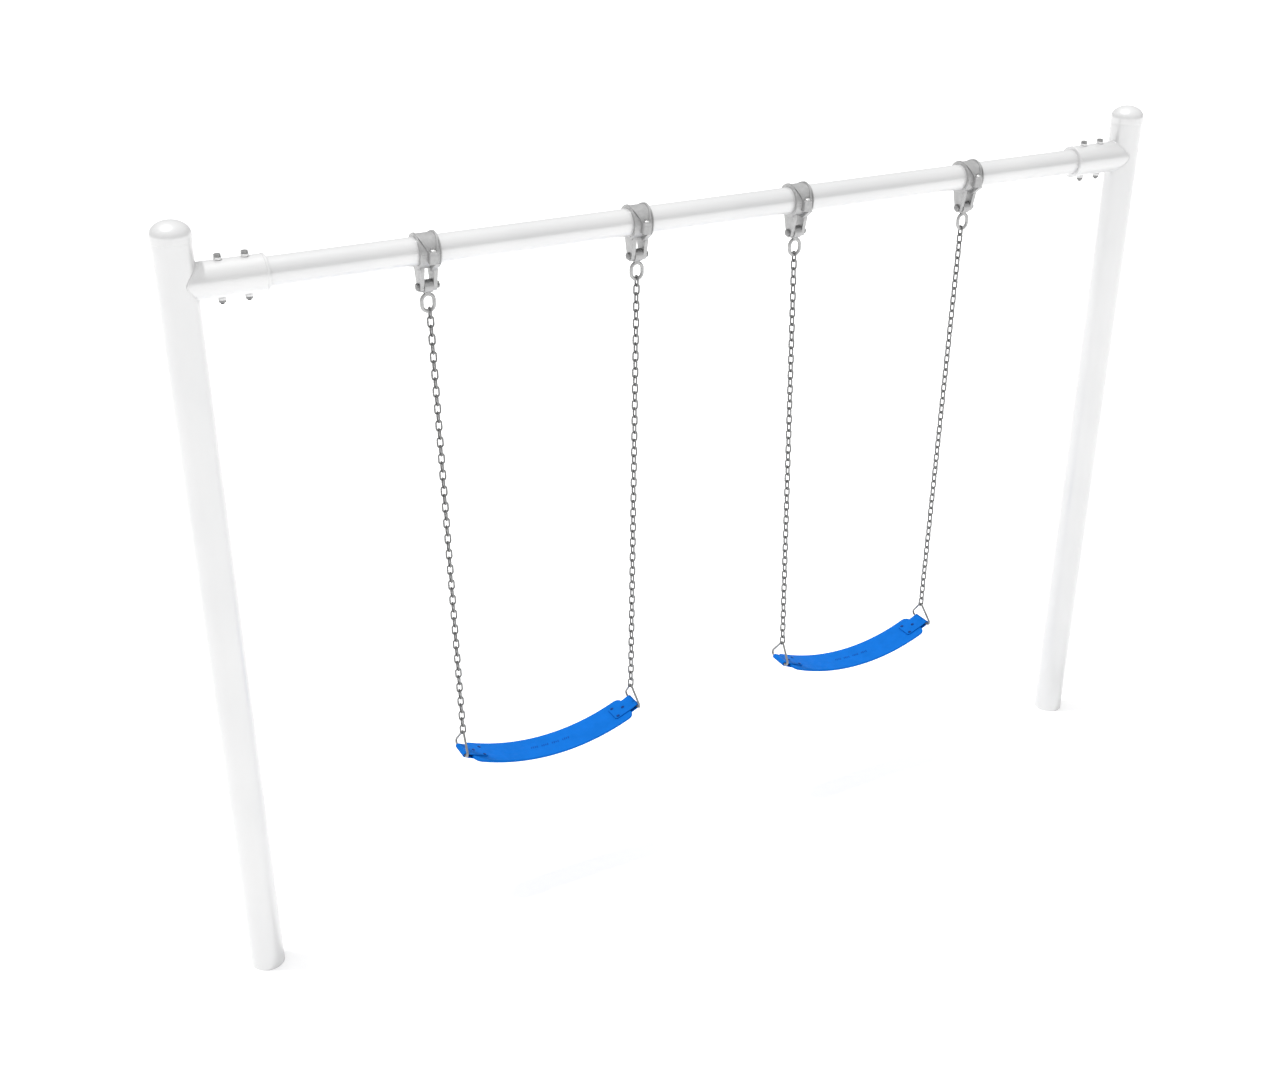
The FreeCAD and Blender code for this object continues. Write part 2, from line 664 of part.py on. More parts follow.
# the eye's floor is round, so a chain that hangs off its middle hangs a little higher
EYE_MIDDLE = "(rail_height - pin_drop - eye_drop - eye_straight / 2)"
CROWN_REACH = "(eye_inner_half - link_wire / 2 - link_gap)"
CHAIN_TOP = f"({EYE_MIDDLE} - sqrt({CROWN_REACH}^2 - chain_shift^2) - (link_wire + link_gap) / 2)"
CHAIN_LENGTH = "(links * link_pitch)"
CHAIN_LEAN = f"asin((chain_half - apex_half) / {CHAIN_LENGTH})"
APEX_FLOOR = f"({CHAIN_TOP} - {CHAIN_LENGTH} * cos({CHAIN_LEAN}))"
BAR_HEIGHT = "(belt_low + belt_radius - sqrt(belt_radius^2 - bar_half^2))"
TRIANGLE_RISE = f"({APEX_FLOOR} + triangle_wire / 2 - {BAR_HEIGHT})"
TRIANGLE_LEAN = f"atan((bar_half - apex_half) / {TRIANGLE_RISE})"
LINK_STRAIGHT = "link_pitch + link_gap - 2 * link_inner_half"


def link_place(x, inward, number):
    """Placement of a link by its number, from 0 at the hanger."""
    lean = math.radians(size(CHAIN_LEAN))
    way = (number + 0.5) * size("link_pitch")
    middle = FreeCAD.Vector(size(x) + inward * way * math.sin(lean), 0,
                            size(CHAIN_TOP) - way * math.cos(lean))
    return FreeCAD.Placement(middle, FreeCAD.Rotation(FreeCAD.Vector(0, 1, 0), -inward * math.degrees(lean)))


def end_link(name, plane, x, inward, number):
    """Single link at an end of a chain."""
    link = oval_ring(name, plane, "link_inner_half", LINK_STRAIGHT, "link_wire")
    link.Placement = link_place(x, inward, number)
    way = f"(({number} + 0.5) * link_pitch)"
    bind(link, **{
        "Placement.Base.x": f"{x} + {inward} * {way} * sin({CHAIN_LEAN})",
        "Placement.Base.z": f"{CHAIN_TOP} - {way} * cos({CHAIN_LEAN})",
    })
    return node(name, link)


def make_chain(name, x, inward, upright, level):
    """Run of links between the two end links, each a quarter turn from the one before."""
    chain = add("Part::Feature", name)
    links = []
    for number in range(1, int(size("links")) - 1):
        shape = (level if number % 2 else upright).Shape.copy()
        shape.Placement = link_place(x, inward, number)
        links.append(shape)
    chain.Shape = Part.makeCompound(links)
    return node(name, chain)


def triangle_outline():
    """Middle line of a triangle's wire, anticlockwise from its apex, with three rounded corners.

    Its bar is at height 0, in the plane of the triangle.
    """
    top = size(f"sqrt((bar_half - apex_half)^2 + {TRIANGLE_RISE}^2)")
    half = size("triangle_half")
    apex_bend, corner_bend = size("apex_bend"), size("corner_bend")
    # the side is the line that both rounds touch
    run = half - corner_bend
    rise = top - apex_bend - corner_bend
    reach = math.hypot(run, rise)
    slant = math.atan2(rise, run) + math.asin((apex_bend - corner_bend) / reach)
    shoulder = apex_bend * math.sin(slant), top - apex_bend + apex_bend * math.cos(slant)
    hip = run + corner_bend * math.sin(slant), corner_bend + corner_bend * math.cos(slant)
    return [
        (0, top, apex_bend, 1),
        (-shoulder[0], shoulder[1]),
        (-hip[0], hip[1], corner_bend, 1),
        (-run, 0),
        (run, 0, corner_bend, 1),
        hip,
        (*shoulder, apex_bend, 1),
    ]


def make_triangle(name, x, inward):
    """Bent-wire triangle: its apex hangs in the last link and its bar holds an end of the belt."""
    name += "_triangle"
    triangle = bent_wire(name, "yz", triangle_outline(), "triangle_wire", "xz")
    place(triangle, x=x, z=BAR_HEIGHT)
    triangle.Placement.Rotation = FreeCAD.Rotation(FreeCAD.Vector(0, 1, 0), inward * size(TRIANGLE_LEAN))
    return node(name, triangle)


# ---------------------------------------------------------------- seats

def on_curve(radius, length):
    """X and Z, from the centre of a belt's curve, at a radius and a length along the belt."""
    angle = f"(({length}) / belt_radius * 1rad)"
    return f"({radius}) * sin({angle})", f"-({radius}) * cos({angle})"


BAR_LENGTH = "(belt_radius * asin(bar_half / belt_radius) / 1rad)"


def curved_outline(inner, outer, end, start=None):
    """Outline of a curved slab between two radii, from one length along the curve to another."""
    start = f"-({end})" if start is None else start
    return [
        (*on_curve(outer, start), outer, 1),
        on_curve(outer, end),
        (*on_curve(inner, end), inner, -1),
        on_curve(inner, start),
    ]


def rivet_places():
    """Length along the belt and distance across it of every rivet of a seat."""
    return [(f"{way} * {along}", across) for way in (-1, 1)
            for along, across in (("rivet_near", "-rivet_side"), ("rivet_near", "rivet_side"),
                                  ("rivet_far", "0"))]


def across_belt(name, radius, start, length, place_along, place_across):
    """Round bar square to the belt, from one radius of its curve outwards."""
    x, z = on_curve(start, place_along)
    bar = bind(add("Part::Cylinder", name), Radius=radius, Height=length)
    angle = 180 - math.degrees(size(place_along) / size("belt_radius"))
    bar.Placement = FreeCAD.Placement(FreeCAD.Vector(), FreeCAD.Rotation(FreeCAD.Vector(0, 1, 0), angle))
    for axis, text in (("x", x), ("y", place_across), ("z", z)):
        bar.setExpression("Placement.Base." + axis, qualified(text))
    return bar


STACK = "(belt_thick / 2 + strap_gap + strap_thick)"


def rivet_holes(name):
    """Tools that drill the rivet holes of a seat piece."""
    start, length = f"belt_radius - 2 * {STACK}", f"4 * {STACK}"
    return [across_belt(f"{name}_hole_{n}", "rivet_radius + fit", start, length, along, across)
            for n, (along, across) in enumerate(rivet_places(), start=1)]


def seat_place(thing, x):
    """Put a seat piece, made about the centre of its curve, in its place."""
    return place(thing, x=x, z="belt_low + belt_radius")


def make_belt(name, x):
    """Rubber belt, with rounded corners and a slot right through for its insert."""
    name += "_seat_belt"
    half = "belt_thick / 2"
    slab = padded(name + "_slab", "xz", curved_outline(f"belt_radius - {half}", f"belt_radius + {half}",
                                                       "belt_end"), "belt_width")
    slot_half = "(insert_thick / 2 + fit)"
    slot = padded(name + "_slot", "xz", curved_outline(f"belt_radius - {slot_half}",
                                                       f"belt_radius + {slot_half}", "belt_end + 5"),
                  "insert_width + 0.4")
    doc.recompute()
    corners = add("Part::Fillet", name + "_corners")
    corners.Base = slab
    corner_edges = [n for n, edge in enumerate(slab.Shape.Edges, start=1)
                    if abs(edge.Length - size("belt_thick")) < 0.5]
    corners.Edges = [(n, size("belt_corner"), size("belt_corner")) for n in corner_edges]
    return node(name, seat_place(cut(name, corners, slot, *rivet_holes(name)), x))


def make_insert(name, x):
    """Spring steel sheet inside the belt."""
    name += "_seat_insert"
    half = "insert_thick / 2"
    outline = curved_outline(f"belt_radius - {half}", f"belt_radius + {half}", "insert_end")
    sheet_metal = padded(name + "_sheet", "xz", outline, "insert_width")
    return node(name, seat_place(cut(name, sheet_metal, *rivet_holes(name)), x))


def strap_outline(way):
    """Side view of an end strap: a leaf above the belt, a round bend about the bar, a leaf below."""
    inner_gap = "(belt_thick / 2 + strap_gap)"
    bar = f"({way} * {BAR_LENGTH})"
    start = f"{way} * strap_start"
    turn = 1 if way > 0 else -1

    def bend_tip(reach):
        """Furthest point of a round bend about the bar."""
        angle = "asin(bar_half / belt_radius)"
        return (f"{way} * (belt_radius * sin({angle}) + ({reach}) * cos({angle}))",
                f"-belt_radius * cos({angle}) + ({reach}) * sin({angle})")

    below, above = f"belt_radius + {STACK}", f"belt_radius - {STACK}"
    low_face, high_face = f"belt_radius + {inner_gap}", f"belt_radius - {inner_gap}"
    return [
        (*on_curve(below, start), below, turn),
        (*on_curve(below, bar), STACK, turn),
        (*bend_tip(STACK), STACK, turn),
        (*on_curve(above, bar), above, -turn),
        on_curve(above, start),
        (*on_curve(high_face, start), high_face, turn),
        (*on_curve(high_face, bar), inner_gap, -turn),
        (*bend_tip(inner_gap), inner_gap, -turn),
        (*on_curve(low_face, bar), low_face, -turn),
        on_curve(low_face, start),
    ]


def make_end_straps(name, x):
    """The two straps that hold the belt's ends to the bars of the triangles."""
    name += "_seat_end_straps"
    straps = [padded(f"{name}_{n}", "xz", strap_outline(way), "strap_width")
              for n, way in enumerate((-1, 1), start=1)]
    both = group(name + "_pair", *straps)
    return node(name, seat_place(cut(name, both, *rivet_holes(name)), x))


def make_rivets(name, x):
    """Rivets through the straps, the belt and its insert."""
    name += "_seat_rivets"
    rivets = []
    for n, (along, across) in enumerate(rivet_places(), start=1):
        inside, outside = f"belt_radius - {STACK}", f"belt_radius + {STACK}"
        shank = across_belt(f"{name}_shank_{n}", "rivet_radius", inside, f"2 * {STACK}", along, across)
        low = across_belt(f"{name}_low_{n}", "rivet_head_radius", outside, "rivet_head_height", along, across)
        high = across_belt(f"{name}_high_{n}", "rivet_head_radius", f"{inside} - rivet_head_height",
                           "rivet_head_height", along, across)
        rivets.append(fuse(f"{name}_{n}", shank, low, high))
    return node(name, seat_place(group(name, *rivets), x))


# ---------------------------------------------------------------- assembly

def make_frame():
    """Posts, caps, collars, top rail and their fasteners."""
    for side, sign in SIDES.items():
        make_post(side, sign)
        make_cap(side, sign)
        make_collar(side, sign)
    make_rail()
    make_collar_fasteners()


def make_hangers():
    """Clamps, pivot pins and pendulums."""
    for name, x in hanger_places():
        make_clamp_top(name, x)
        make_yoke(name, x)
        make_pivot_pin(name, x)
        make_pendulum(name, x)
        make_bushing(name, x)
    make_clamp_screws()
    make_pivot_nuts()


def make_chains():
    """Chains with their end links."""
    upright = oval_ring("upright_link", "yz", "link_inner_half", LINK_STRAIGHT, "link_wire")
    level = oval_ring("level_link", "xz", "link_inner_half", LINK_STRAIGHT, "link_wire")
    doc.recompute()
    for name, x, inward in chain_places():
        end_link(name + "_upper_link", "yz", x, inward, 0)
        make_chain(name + "_chain", x, inward, upright, level)
        end_link(name + "_lower_link", "xz", x, inward, int(size("links")) - 1)


def make_swings():
    """Triangles and belt seats."""
    for side, sign in SIDES.items():
        for end, way in ENDS.items():
            make_triangle(f"{side}_{end}", f"{sign} * (swing_centre + {way} * bar_half)", -sign * way)
        x = f"{sign} * swing_centre"
        for make in (make_belt, make_insert, make_end_straps, make_rivets):
            make(side, x)


def check_objects():
    """Stop if any object failed or any sub-part is empty or broken."""
    for thing in doc.Objects:
        if {"Invalid", "Error"} & set(thing.State):
            raise RuntimeError(f"{thing.Name} failed: {thing.State}")
    for thing in nodes:
        if thing.Shape.isNull() or not thing.Shape.isValid() or not thing.Shape.Solids:
            raise RuntimeError(f"{thing.Label} has no valid solid")


def write_parts():
    """Write each sub-part to a file of its own."""
    os.makedirs("parts", exist_ok=True)
    for thing in nodes:
        thing.Shape.exportStep(f"parts/{thing.Label}.step")
        print(f"{thing.Label}: {len(thing.Shape.Solids)} solids, {thing.Shape.Volume / 1000:.1f} cm3")


make_frame()
make_hangers()
make_chains()
make_swings()
doc.recompute()
check_objects()
write_parts()
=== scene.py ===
import json
import math

import bpy
from mathutils import Matrix, Vector


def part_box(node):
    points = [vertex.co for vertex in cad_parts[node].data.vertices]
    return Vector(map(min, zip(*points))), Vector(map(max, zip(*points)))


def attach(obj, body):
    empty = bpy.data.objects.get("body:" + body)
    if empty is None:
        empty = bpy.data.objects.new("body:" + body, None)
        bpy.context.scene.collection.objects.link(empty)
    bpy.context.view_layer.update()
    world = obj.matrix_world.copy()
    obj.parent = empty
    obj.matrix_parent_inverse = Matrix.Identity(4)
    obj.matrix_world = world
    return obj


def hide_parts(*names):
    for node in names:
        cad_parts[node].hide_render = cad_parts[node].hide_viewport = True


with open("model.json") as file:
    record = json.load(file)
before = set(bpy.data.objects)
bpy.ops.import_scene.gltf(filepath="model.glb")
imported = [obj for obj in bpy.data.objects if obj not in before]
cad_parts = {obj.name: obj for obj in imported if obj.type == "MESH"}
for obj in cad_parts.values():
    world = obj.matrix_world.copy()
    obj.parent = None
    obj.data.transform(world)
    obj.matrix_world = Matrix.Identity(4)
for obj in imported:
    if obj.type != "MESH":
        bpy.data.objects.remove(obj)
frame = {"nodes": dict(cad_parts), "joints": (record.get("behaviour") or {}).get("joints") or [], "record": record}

MM = 0.001
SIDES = {"left": -1, "right": 1}
ENDS = ("outer", "inner")

# belt seats and their end straps, as the CAD model has them
BELT_RADIUS = 746 * MM
BELT_THICK = 9.4 * MM
BELT_WIDTH = 127 * MM
BELT_END = 324 * MM
BELT_CORNER = 25 * MM
BELT_EDGE = 3.2 * MM
STRAP_WIDTH = 70 * MM
STRAP_THICK = 4.5 * MM
STRAP_START = 261 * MM
STRAP_GAP = 0.05 * MM
STRAP_CORNER = 9 * MM
STRAP_EDGE = 1.3 * MM
RIVET_PLACES = [(275 * MM, -26 * MM), (275 * MM, 26 * MM), (310 * MM, 0)]
RIVET_RADIUS = 6.5 * MM
RIVET_HEIGHT = 2 * MM
RIVET_SHANK_RADIUS = 3 * MM
SHEET_PITCH = 6 * MM
PARTING_RIDGE = 0.25 * MM

# grip marks on the belts
GRIP_GROUPS = 4
GRIP_GROUP_PITCH = 42 * MM
GRIP_BARS = 4
GRIP_BAR_PITCH = 7.5 * MM
GRIP_BAR_LENGTHS = (9 * MM, 12 * MM)

# chains and triangles
LINKS = 54
LINK_SIDE = 9.4 * MM  # from a link's axis to the axis of its side
LINK_WIRE = 6 * MM
LINK_CROWN = 3.2 * MM  # from a joint to the axis of the wire that turns in it
TRIANGLE_WIRE = 8 * MM

# post caps and collars
CAP_SKIRT = 19 * MM
CAP_SEAT = 28 * MM
COLLAR_RADIUS = 55 * MM
COLLAR_BOLTS = (120.5 * MM, 198.3 * MM)  # from the post's axis
WELD_RADIUS = 1.8 * MM
WELD_RIPPLE = 0.12 * MM
WELD_RIPPLES = 60

# fasteners
HEX_FLATS = 19.05 * MM
BOLT_RADIUS = 6.3 * MM
THREAD_PITCH = 1.95 * MM
WASHER_RADIUS = 12 * MM
WASHER_BORE = 6.6 * MM
WASHER_HEIGHT = 7.5 * MM
SCREW_OFFSET = 5.5 * MM  # from a hanger's middle, along the rail
SCREW_RADIUS = 9 * MM
SCREW_HEIGHT = 6 * MM
SCREW_SOCKET = 6 * MM
SCREW_SHANK_RADIUS = 5 * MM
SCREW_LENGTH = 28 * MM
PIVOT_GRIP = 55 * MM
PIVOT_NUT = 11 * MM
PIVOT_HEAD = 9 * MM
PIVOT_HEAD_RADIUS = 12 * MM

# camera that took the photograph, and the studio
CAMERA_PLACE = (-2.592, -4.325, 3.715)
CAMERA_PITCH = -26.04
CAMERA_YAW = -27.997
CAMERA_LENS = 43.49
DOME_STOPS = ((0.0, 0.47), (0.15, 0.52), (0.5, 0.86), (1.0, 1.20))  # (sine of the elevation, brightness)
SUN_TRAVEL = (0.114, -0.077, -0.61)
SUN_STRENGTH = 2
SUN_ANGLE = 4
FLOOR_REACH = 120

nodes = frame["nodes"]
joints = {joint["name"]: joint for joint in frame["joints"]}
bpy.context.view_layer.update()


def joint_place(name):
    """Place of a joint at rest."""
    return Vector(joints[name]["pos_m"])


# ---------------------------------------------------------------- materials

def new_material(name, **values):
    """Principled material whose plain sockets are set directly. Returns it, its tree and its shader."""
    made = bpy.data.materials.new(name)
    made.use_nodes = True
    shader = made.node_tree.nodes["Principled BSDF"]
    for socket, value in values.items():
        shader.inputs[socket.replace("_", " ")].default_value = value
    return made, made.node_tree, shader


def noise(tree, scale, detail=3.0, stretch=(1, 1, 1)):
    """Noise over the object's own coordinates, in cells per metre."""
    where = tree.nodes.new("ShaderNodeTexCoord")
    spread = tree.nodes.new("ShaderNodeMapping")
    spread.inputs["Scale"].default_value = stretch
    texture = tree.nodes.new("ShaderNodeTexNoise")
    texture.inputs["Scale"].default_value = scale
    texture.inputs["Detail"].default_value = detail
    tree.links.new(where.outputs["Object"], spread.inputs["Vector"])
    tree.links.new(spread.outputs["Vector"], texture.inputs["Vector"])
    return texture.outputs["Fac"]


def crystals(tree, scale):
    """Cells with a random grey each, as zinc crystals are."""
    where = tree.nodes.new("ShaderNodeTexCoord")
    texture = tree.nodes.new("ShaderNodeTexVoronoi")
    texture.inputs["Scale"].default_value = scale
    tree.links.new(where.outputs["Object"], texture.inputs["Vector"])
    made = tree.nodes.new("ShaderNodeRGBToBW")
    tree.links.new(texture.outputs["Color"], made.inputs["Color"])
    return made.outputs["Val"]


def ramp(tree, factor, low, high, start=0.35, end=0.65):
    """Blend of two colours by a factor."""
    made = tree.nodes.new("ShaderNodeValToRGB")
    for stop, place, colour in ((0, start, low), (1, end, high)):
        made.color_ramp.elements[stop].position = place
        made.color_ramp.elements[stop].color = (*colour, 1)
    tree.links.new(factor, made.inputs["Fac"])
    return made.outputs["Color"]


def ranged(tree, factor, low, high):
    """A factor's 0.3 to 0.7 spread over a range."""
    made = tree.nodes.new("ShaderNodeMapRange")
    for socket, value in (("From Min", 0.3), ("From Max", 0.7), ("To Min", low), ("To Max", high)):
        made.inputs[socket].default_value = value
    tree.links.new(factor, made.inputs["Value"])
    return made.outputs["Result"]


def mixed(tree, first, second, share):
    """Blend of two colours in fixed shares."""
    made = tree.nodes.new("ShaderNodeMix")
    made.data_type = "RGBA"
    made.inputs["Factor"].default_value = share
    tree.links.new(first, made.inputs["A"])
    tree.links.new(second, made.inputs["B"])
    return made.outputs["Result"]


def bumped(tree, shader, *layers):
    """Bump of several layers, each (height, depth in metres)."""
    before = None
    for height, depth in layers:
        made = tree.nodes.new("ShaderNodeBump")
        made.inputs["Distance"].default_value = depth
        tree.links.new(height, made.inputs["Height"])
        if before:
            tree.links.new(before, made.inputs["Normal"])
        before = made.outputs["Normal"]
    tree.links.new(before, shader.inputs["Normal"])


def grey(value):
    """Neutral colour."""
    return (value, value, value)


def white_paint():
    """Glossy white powder coat with a pearly sheen and a very slight orange peel."""
    made, tree, shader = new_material("white_powder_coat", Metallic=0.35, Specular_IOR_Level=0.35)
    cloud = ramp(tree, noise(tree, 3, 4), (0.635, 0.636, 0.638), (0.660, 0.660, 0.660))
    tree.links.new(cloud, shader.inputs["Base Color"])
    tree.links.new(ranged(tree, noise(tree, 40), 0.28, 0.36), shader.inputs["Roughness"])
    bumped(tree, shader, (noise(tree, 90, 1), 0.00002))
    return made


def cast_zinc():
    """Hot-dip galvanised iron casting: dull grey, grainy, slightly cloudy."""
    made, tree, shader = new_material("galvanised_casting", Metallic=0.6, Specular_IOR_Level=0.4)
    cloud = ramp(tree, noise(tree, 55, 4), grey(0.35), grey(0.43))
    grain = ramp(tree, noise(tree, 700, 3), grey(0.31), grey(0.46))
    tree.links.new(mixed(tree, cloud, grain, 0.35), shader.inputs["Base Color"])
    tree.links.new(ranged(tree, noise(tree, 160), 0.34, 0.5), shader.inputs["Roughness"])
    bumped(tree, shader, (noise(tree, 260, 4), 0.0003), (noise(tree, 1100, 3), 0.00012))
    return made


def chain_zinc():
    """Galvanised chain: dark zinc with small crystals."""
    made, tree, shader = new_material("galvanised_chain", Metallic=0.6)
    cells = ramp(tree, crystals(tree, 260), grey(0.15), grey(0.23), 0.1, 0.9)
    cloud = ramp(tree, noise(tree, 90, 3), grey(0.15), grey(0.21))
    tree.links.new(mixed(tree, cloud, cells, 0.4), shader.inputs["Base Color"])
    tree.links.new(ranged(tree, noise(tree, 220), 0.3, 0.48), shader.inputs["Roughness"])
    bumped(tree, shader, (noise(tree, 900, 3), 0.0001))
    return made


def plated_wire():
    """Zinc-plated drawn wire: satin, with faint draw marks along the wire."""
    made, tree, shader = new_material("plated_wire", Metallic=0.6)
    cloud = ramp(tree, noise(tree, 60, 3), (0.20, 0.20, 0.20), (0.26, 0.26, 0.255))
    tree.links.new(cloud, shader.inputs["Base Color"])
    tree.links.new(ranged(tree, noise(tree, 300), 0.26, 0.4), shader.inputs["Roughness"])
    bumped(tree, shader, (noise(tree, 900, 2, (1, 1, 0.08)), 0.00008))
    return made


def dull_zinc():
    """Zinc-plated fasteners, dull and darker than the castings."""
    made, tree, shader = new_material("zinc_fasteners", Metallic=0.8)
    cloud = ramp(tree, noise(tree, 130, 4), (0.19, 0.19, 0.195), (0.29, 0.29, 0.285))
    tree.links.new(cloud, shader.inputs["Base Color"])
    tree.links.new(ranged(tree, noise(tree, 400), 0.34, 0.5), shader.inputs["Roughness"])
    bumped(tree, shader, (noise(tree, 1400, 3), 0.00005))
    return made


def bright_zinc():
    """Bright plated heads of the clamp screws."""
    made, tree, shader = new_material("bright_screws", Metallic=0.9)
    cloud = ramp(tree, noise(tree, 150, 3), (0.70, 0.70, 0.70), (0.80, 0.80, 0.79))
    tree.links.new(cloud, shader.inputs["Base Color"])
    tree.links.new(ranged(tree, noise(tree, 500), 0.22, 0.34), shader.inputs["Roughness"])
    bumped(tree, shader, (noise(tree, 1600, 2), 0.00003))
    return made


def bronze():
    """Oil-filled bronze, finely porous."""
    made, tree, shader = new_material("bronze_bush", Metallic=0.9)
    cloud = ramp(tree, noise(tree, 200, 4), (0.34, 0.20, 0.08), (0.50, 0.32, 0.14))
    tree.links.new(cloud, shader.inputs["Base Color"])
    tree.links.new(ranged(tree, noise(tree, 900), 0.35, 0.5), shader.inputs["Roughness"])
    bumped(tree, shader, (noise(tree, 2500, 2), 0.00006))
    return made


def spring_steel():
    """Blued spring steel with rolling marks along the strip."""
    made, tree, shader = new_material("spring_steel", Metallic=0.95)
    rolled = ramp(tree, noise(tree, 500, 3, (0.03, 1, 0.03)), (0.28, 0.29, 0.31), (0.40, 0.41, 0.43))
    tree.links.new(rolled, shader.inputs["Base Color"])
    tree.links.new(ranged(tree, noise(tree, 300), 0.25, 0.4), shader.inputs["Roughness"])
    bumped(tree, shader, (noise(tree, 900, 2, (0.03, 1, 0.03)), 0.00004))
    return made


def blue_rubber(name, low, high):
    """Moulded rubber: almost matt, finely pebbled, a little cloudy."""
    made, tree, shader = new_material(name, Specular_IOR_Level=0.04)
    cloud = ramp(tree, noise(tree, 22, 5), low, high)
    tree.links.new(cloud, shader.inputs["Base Color"])
    tree.links.new(ranged(tree, noise(tree, 60), 0.48, 0.62), shader.inputs["Roughness"])
    bumped(tree, shader, (noise(tree, 650, 3), 0.00016), (noise(tree, 2200, 2), 0.00004))
    return made


def rivet_paint():
    """Dark blue coated rivets."""
    made, tree, shader = new_material("rivet_coating", Specular_IOR_Level=0.08)
    cloud = ramp(tree, noise(tree, 240, 3), (0.002, 0.030, 0.15), (0.003, 0.042, 0.21))
    tree.links.new(cloud, shader.inputs["Base Color"])
    tree.links.new(ranged(tree, noise(tree, 500), 0.32, 0.5), shader.inputs["Roughness"])
    bumped(tree, shader, (noise(tree, 1500, 2), 0.00004))
    return made


RUBBER = blue_rubber("blue_rubber", (0.0020, 0.119, 0.475), (0.0030, 0.130, 0.52))
# Darker blue for the grip marks is painted shade, standing in for the shadows about raised moulded marks.
SHADED_MARK_RUBBER = blue_rubber("blue_rubber_marks_painted_shade", (0.002, 0.055, 0.29), (0.003, 0.068, 0.34))
SLOT_MATERIALS = {
    "white_paint": white_paint(),
    "galvanised_casting": cast_zinc(),
    "galvanised_chain": chain_zinc(),
    "plated_wire": plated_wire(),
    "zinc_fasteners": dull_zinc(),
    "bronze": bronze(),
    "blue_rubber": RUBBER,
    "rivet_finish": rivet_paint(),
    "spring_steel": spring_steel(),
}
BRIGHT_ZINC = bright_zinc()


# ---------------------------------------------------------------- mesh making

def joined(parts):
    """Several (vertices, faces) as one."""
    vertices, faces = [], []
    for part_vertices, part_faces in parts:
        start = len(vertices)
        vertices += part_vertices
        faces += [[start + corner for corner in face] for face in part_faces]
    return vertices, faces


def moved(part, place, axis=(0, 0, 1)):
    """A part made about the origin, with its Z along an axis and its origin at a place."""
    turn = Vector((0, 0, 1)).rotation_difference(Vector(axis)).to_matrix().to_4x4()
    whole = Matrix.Translation(place) @ turn
    return [whole @ Vector(vertex) for vertex in part[0]], part[1]


def piece(name, parts, body, material, replaces=(), sharp=35):
    """Object made of parts, smooth except at edges sharper than an angle, riding on a body."""
    vertices, faces = joined(parts)
    mesh = bpy.data.meshes.new(name)
    mesh.from_pydata(vertices, [], faces)
    mesh.validate()
    mesh.polygons.foreach_set("use_smooth", [True] * len(mesh.polygons))
    mesh.set_sharp_from_angle(angle=math.radians(sharp))
    mesh.materials.append(material)
    made = bpy.data.objects.new(name, mesh)
    bpy.context.scene.collection.objects.link(made)
    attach(made, body)
    if replaces:
        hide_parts(*replaces)
    return made


def lathe(profile, sides=36):
    """Turned solid about Z, from its top down.

    The profile is (radius, height) pairs; either may be a function of the angle.
    """
    def value(item, angle):
        """A number, or what a function gives at an angle."""
        return item(angle) if callable(item) else item

    vertices, faces, rings = [], [], []
    angles = [2 * math.pi * side / sides for side in range(sides)]
    for radius, height in profile:
        if radius == 0:
            rings.append([len(vertices)])
            vertices.append((0, 0, value(height, 0)))
            continue
        rings.append(list(range(len(vertices), len(vertices) + sides)))
        vertices += [(value(radius, a) * math.cos(a), value(radius, a) * math.sin(a), value(height, a))
                     for a in angles]
    for upper, lower in zip(rings, rings[1:]):
        for side in range(sides):
            after = (side + 1) % sides
            if len(upper) == 1:
                faces.append([upper[0], lower[side], lower[after]])
            elif len(lower) == 1:
                faces.append([upper[side], lower[0], upper[after]])
            else:
                faces.append([upper[side], lower[side], lower[after], upper[after]])
    return vertices, faces


def tube(points, radii, sides=10):
    """Closed ring of tube through points, with a radius at each."""
    count = len(points)
    vertices, faces = [], []
    for index, (point, radius) in enumerate(zip(points, radii)):
        along = (points[(index + 1) % count] - points[index - 1]).normalized()
        across = along.orthogonal() if abs(along.x) > 0.99 else along.cross(Vector((1, 0, 0))).normalized()
        other = along.cross(across)
        for side in range(sides):
            angle = 2 * math.pi * side / sides
            vertices.append(point + radius * (math.cos(angle) * across + math.sin(angle) * other))
    for index in range(count):
        after = (index + 1) % count
        for side in range(sides):
            beside = (side + 1) % sides
            faces.append([index * sides + side, index * sides + beside, after * sides + beside,
                          after * sides + side])
    return vertices, faces


# ---------------------------------------------------------------- moulded sheets

def edge_steps(edge, corner):
    """Distances from a sheet's end that follow its rounded edge and its rounded corners."""
    angles = [math.radians(angle) for angle in range(0, 90, 15)]
    near = [edge * (1 - math.cos(angle)) for angle in angles]
    far = [corner * (1 - math.cos(angle)) for angle in angles]
    return near + [edge] + [step for step in far if step > 1.3 * edge]


def spread(half, steps, pitch):
    """Places from -half to half: at the steps from each end, and evenly between."""
    inner = half - steps[-1]
    count = max(2, round(2 * inner / pitch))
    middle = [(2 * k / count - 1) * inner for k in range(1, count)]
    return [step - half for step in steps] + middle + [half - step for step in reversed(steps)]


